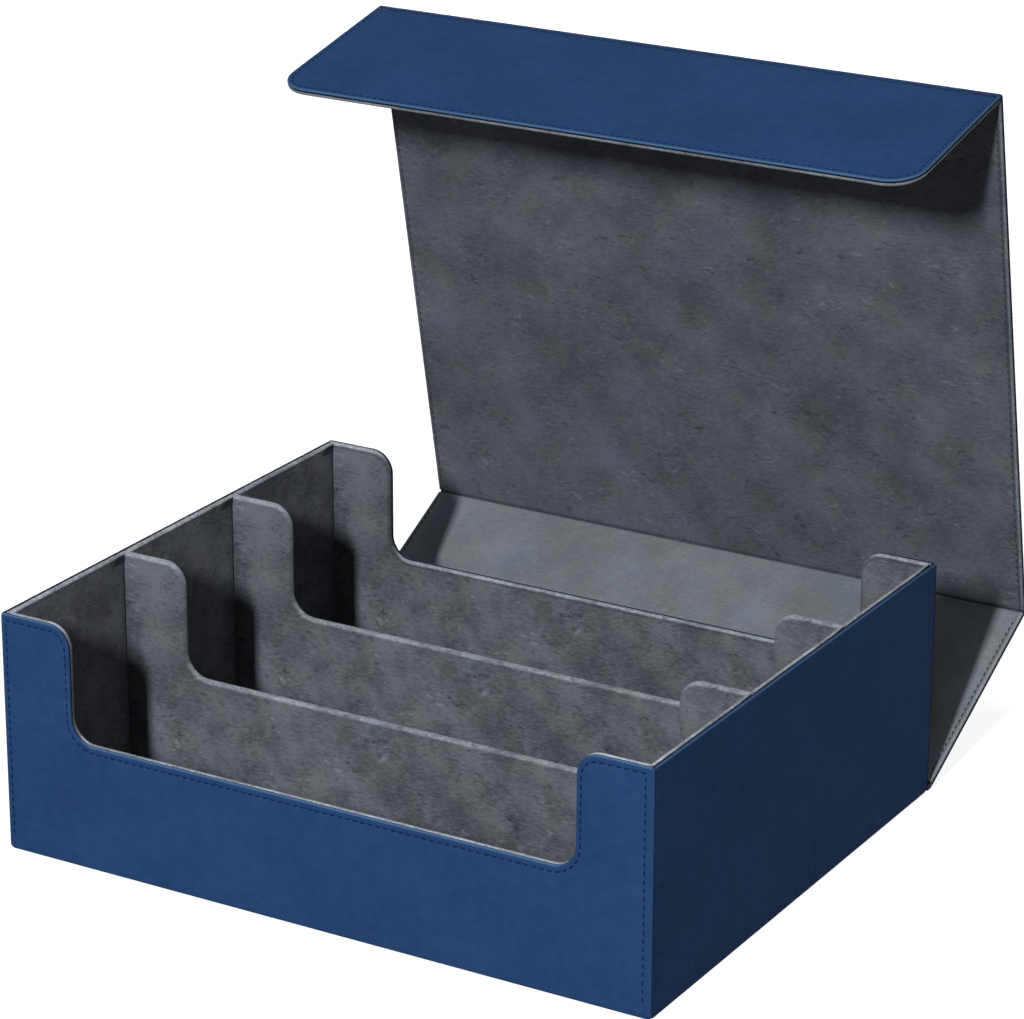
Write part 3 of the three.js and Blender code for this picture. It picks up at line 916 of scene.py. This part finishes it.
def dress_panel(name, suede, hinge, way, end_kind, end_radius):
    """Leather, lining and stitching of a cover panel that runs from a hinge along a way, turned
    in along its free edges."""
    inward = np.cross(X, way)
    outer = Face(hinge - COVER_HALF * inward, -X, way)
    inner = Face(hinge + COVER_HALF * inward, X, way)
    ends = node_reach(f"{name}_leather", hinge, way)
    sides = np.array([-COVER_HALF_WIDTH, COVER_HALF_WIDTH])
    kinds = ["rim", end_kind, "rim", "hinge"]
    corners = panel_corners(sides, ends, SQUARE_CORNER, end_radius)
    leather = turned_sheet(f"{name}_leather_cloth", outer, corners, kinds, COVER_LEATHER)
    finish_piece(leather, LEATHER, name, [f"{name}_leather"])
    lining_sides = sides * (1 - LINING_SETBACK / COVER_HALF_WIDTH)
    is_free = end_kind == "rim"
    far_setback = LINING_SETBACK if is_free else -GROOVE_LINING
    lining_ends = (ends[0] - GROOVE_LINING, ends[1] - far_setback)
    lining_radius = end_radius - LINING_SETBACK * is_free
    lining_corners = panel_corners(lining_sides, lining_ends, SQUARE_CORNER, lining_radius)
    lining = turned_sheet(f"{name}_suede", inner, lining_corners, kinds, COVER_LINING)
    finish_piece(lining, suede, name, [f"{name}_lining"])
    runs = [range(3)] if is_free else [[0], [2]]
    paths = [seam_path(corners, [COVER_SEAM] * 4, run) for run in runs]
    rows = [(outer, path, COVER_STITCH_RISE) for path in paths]
    sew(f"{name}_stitching", THREAD, name, rows)
    paths = [seam_path(lining_corners, [COVER_LINING_SEAM] * 4, run) for run in runs]
    rows = [(inner, path, LINING_STITCH_RISE) for path in paths]
    sew(f"{name}_lining_stitching", GREY_THREAD, name, rows)


# The webs of the hinges: the leather's rounded ends as (inset, drop), and the suede's line as
# (share of the setback, height), with the height of its foot and the mark from which the suede
# paints shade in the crease
WEB_STEPS = 24
WEB_END_STEPS = 5
WEB_SOLVE_ROUNDS = 60
LEATHER_WEB_FACE = COVER_HALF + COVER_DROP
LEATHER_WEB_END = (1.0, 1.1)
SUEDE_WEB_LINE = [(-1.0, 1.5), (-0.93, 0.95), (-0.68, 0.55), (-0.36, 0.28), (0.0, 0.20),
                  (0.36, 0.28), (0.68, 0.55), (0.93, 0.95), (1.0, 1.5)]
SUEDE_WEB_FOOT = 0.02
SUEDE_WEB_CREASE_SHADE = 0.45
WEB_MAP_STRETCH = 1.5


def fold_web(flat, fold, start, end):
    """Bends a flat web round the hinge line. A point turns by its share of the fold, and its
    share is 3 t^2 - 2 t^3 of how far it then lies from start to end, so the two are worked out
    in turn until they agree, going half the way each time, because whole steps would swing to
    and fro on a sharp fold."""
    chord = end - start
    t = np.clip((flat[..., 0] + FOLD_SETBACK) / (2 * FOLD_SETBACK), 0, 1)
    for _ in range(WEB_SOLVE_ROUNDS):
        angle = fold * t * t * (3 - 2 * t)
        along = flat[..., 0] * np.cos(angle) - flat[..., 1] * np.sin(angle)
        rise = flat[..., 0] * np.sin(angle) + flat[..., 1] * np.cos(angle)
        reached = ((np.stack([along, rise], axis=-1) - start) @ chord) / (chord @ chord)
        t = (t + np.clip(reached, 0, 1)) / 2
    return along, rise


def hinge_web(name, material, hinge, way, fold, loops, xs, level, nodes, crease_shade_mark=0.0):
    """A web of cloth across a hinge: loops (s, h) at places along X, drawn flat about the hinge
    line, then bent by the fold. It is marked by an even share, from which the suede paints shade
    in the crease."""
    start = np.array([-FOLD_SETBACK, level])
    turn = np.array([[math.cos(fold), math.sin(fold)], [-math.sin(fold), math.cos(fold)]])
    end = np.array([FOLD_SETBACK, level]) @ turn
    along, rise = fold_web(loops, fold, start, end)
    up = np.cross(X, way)
    across = np.broadcast_to(xs[:, None], along.shape)
    points = hinge + along[..., None] * way + rise[..., None] * up + across[..., None] * X
    flat_places = np.stack([across, WEB_MAP_STRETCH * loops[..., 0]], axis=-1)
    faces = tube_faces(*along.shape)
    marks = {"rolled": np.full(along.shape, crease_shade_mark)}
    piece = make_piece(name, points.reshape(-1, 3), faces, flat_places.reshape(-1, 2), marks)
    finish_piece(piece, material, None, nodes)
    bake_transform(piece)


def dress_hinge(name, hinge, way, fold):
    """The leather over the outside of a hinge, and the suede in the groove on its inside."""
    s = np.linspace(-FOLD_SETBACK, FOLD_SETBACK, WEB_STEPS + 1)
    turn = np.linspace(0, np.pi / 2, WEB_END_STEPS + 1)
    inset = LEATHER_WEB_END[0] * (1 - np.cos(turn))
    drop = LEATHER_WEB_END[1] * (1 - np.sin(turn))
    xs = np.concatenate([inset - COVER_HALF_WIDTH, (COVER_HALF_WIDTH - inset)[::-1]])
    drops = np.concatenate([drop, drop[::-1]])
    along, rise = np.broadcast_arrays(s, drops[:, None] - LEATHER_WEB_FACE)
    outer = np.stack([along, rise], axis=-1)
    inner = np.stack([along[:, ::-1], np.zeros_like(along)], axis=-1)
    loops = np.concatenate([outer, inner], axis=1)
    hinge_web(f"{name}_leather_web", LEATHER, hinge, way, fold, loops, xs,
              -LEATHER_WEB_FACE, [f"{name}_welt"])
    line = np.array(SUEDE_WEB_LINE)[::-1] * (FOLD_SETBACK, 1.0)
    foot = np.stack([s, np.full_like(s, SUEDE_WEB_FOOT)], axis=1)
    loop = np.concatenate([foot, line])
    xs = np.array([-1.0, 1.0]) * (COVER_HALF_WIDTH - LINING_SETBACK)
    loops = np.broadcast_to(loop, (len(xs), *loop.shape))
    hinge_web(f"{name}_suede_web", COVER_SUEDE_PAINTED_DARKER, hinge, way, fold, loops, xs, 0.0,
              [], crease_shade_mark=SUEDE_WEB_CREASE_SHADE)


def dress_cover():
    """The three panels and the three hinges between them and the tray."""
    dress_panel("back_panel", BACK_SUEDE_PAINTED_LIGHTER, BASE_HINGE, BACK_WAY, "hinge", SQUARE_CORNER)
    dress_panel("top_panel", COVER_SUEDE_PAINTED_DARKER, SPINE_HINGE, TOP_WAY, "hinge", SQUARE_CORNER)
    dress_panel("flap", COVER_SUEDE_PAINTED_DARKER, FLAP_HINGE, FLAP_WAY, "rim", FLAP_RADIUS)
    dress_hinge("base_hinge", BASE_HINGE, Y, -base_range[0])
    dress_hinge("spine_hinge", SPINE_HINGE, BACK_WAY, -spine_range[0])
    dress_hinge("flap_hinge", FLAP_HINGE, TOP_WAY, -flap_range[0])


def dress_solids():
    """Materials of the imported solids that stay: boards, magnets and the linings of the floor."""
    finishes = {"board": BOARD, "magnet": NICKEL, "floor_lining": FLOOR_SUEDE}
    for name, node in frame["nodes"].items():
        for word, material in finishes.items():
            if word in name:
                node.data.materials.clear()
                node.data.materials.append(material)


# Stage, lights and camera

FLOOR_SIZE = 8.0
FLOOR_SHADE = 0.26
FLOOR_GLOW = 0.88, 1.0
GLOW_REACH = 0.25, 0.80
AMBIENT = 0.16

# The camera: its place in metres, its turns in degrees, and its sensor and lens in millimetres
CAMERA_PLACE = (0.83159503687, -1.38508046645, 0.74292832139)
CAMERA_TURN = (69.61398729, -0.17772148, 30.51866992)
CAMERA_SENSOR = 36.0
CAMERA_LENS = 144.3919115


def seen_directly(tree):
    """One for rays from the camera and for reflected and refracted rays, else zero."""
    path = add_node(tree, "ShaderNodeLightPath").outputs
    reflected = calculate(tree, "MAXIMUM", path["Is Glossy Ray"], path["Is Transmission Ray"])
    return calculate(tree, "MAXIMUM", path["Is Camera Ray"], reflected)


def make_floor():
    """A plain grey floor with a glow that is seen but lights nothing. Together they show white
    where the floor is lit, and a faint shadow by the box. The glow grows away from the box, to
    make up for the light that is lost there."""
    half = FLOOR_SIZE / 2
    mesh = bpy.data.meshes.new("floor")
    corners = [(-half, -half, 0.0), (half, -half, 0.0), (half, half, 0.0), (-half, half, 0.0)]
    mesh.from_pydata(corners, [], [(0, 1, 2, 3)])
    floor = add_object("floor", mesh)
    material, tree, shader = new_material("pale_floor", (0.8, 0.8, 0.8))
    shader.inputs["Base Color"].default_value = (FLOOR_SHADE, FLOOR_SHADE, FLOOR_SHADE, 1.0)
    shader.inputs["Roughness"].default_value = 1.0
    shader.inputs["Specular IOR Level"].default_value = 0.0
    place = add_node(tree, "ShaderNodeTexCoord").outputs["Object"]
    far = add_node(tree, "ShaderNodeVectorMath", {0: place}, operation="LENGTH").outputs["Value"]
    strength = stretch(tree, far, *GLOW_REACH, *FLOOR_GLOW)
    glow = calculate(tree, "MULTIPLY", seen_directly(tree), strength)
    shader.inputs["Emission Color"].default_value = (1.0, 1.0, 1.0, 1.0)
    tree.links.new(glow, shader.inputs["Emission Strength"])
    floor.data.materials.append(material)


def make_world():
    """White where it is seen, and a low even light on the box."""
    world = bpy.data.worlds.new("studio")
    bpy.context.scene.world = world
    world.use_nodes = True
    tree = world.node_tree
    strength = stretch(tree, seen_directly(tree), 0.0, 1.0, AMBIENT, 1.0)
    background = tree.nodes["Background"]
    background.inputs["Color"].default_value = (1.0, 1.0, 1.0, 1.0)
    tree.links.new(strength, background.inputs["Strength"])


def make_lamp(name, place, target, width, height, power):
    """A soft box, its width and height in metres, that looks at a target."""
    data = bpy.data.lights.new(name, "AREA")
    data.shape = "RECTANGLE"
    data.size = width
    data.size_y = height
    data.energy = power
    lamp = add_object(name, data)
    lamp.location = place
    away = lamp.location - type(lamp.location)(target)
    lamp.rotation_euler = away.to_track_quat("Z", "Y").to_euler()


def make_camera():
    """The photograph's view, worked out from the box's edges in it."""
    data = bpy.data.cameras.new("camera")
    data.sensor_width = CAMERA_SENSOR
    data.lens = CAMERA_LENS
    camera = add_object("camera", data)
    camera.location = CAMERA_PLACE
    camera.rotation_euler = [math.radians(angle) for angle in CAMERA_TURN]
    bpy.context.scene.camera = camera


dress_tray()
dress_cover()
dress_solids()
make_floor()
make_world()
make_lamp("key_light", place=(0.47, -2.60, 1.50), target=(0.0, 0.0, 0.10),
          width=0.14, height=0.36, power=96.0)
make_lamp("overhead_light", place=(0.0, 0.10, 3.00), target=(0.0, 0.10, 0.0),
          width=0.8, height=0.8, power=20.0)
make_lamp("back_light", place=(-1.60, 2.50, 0.33), target=(0.0, 0.05, 0.15),
          width=1.6, height=0.5, power=70.0)
make_camera()
bpy.context.scene.view_settings.view_transform = "Standard"
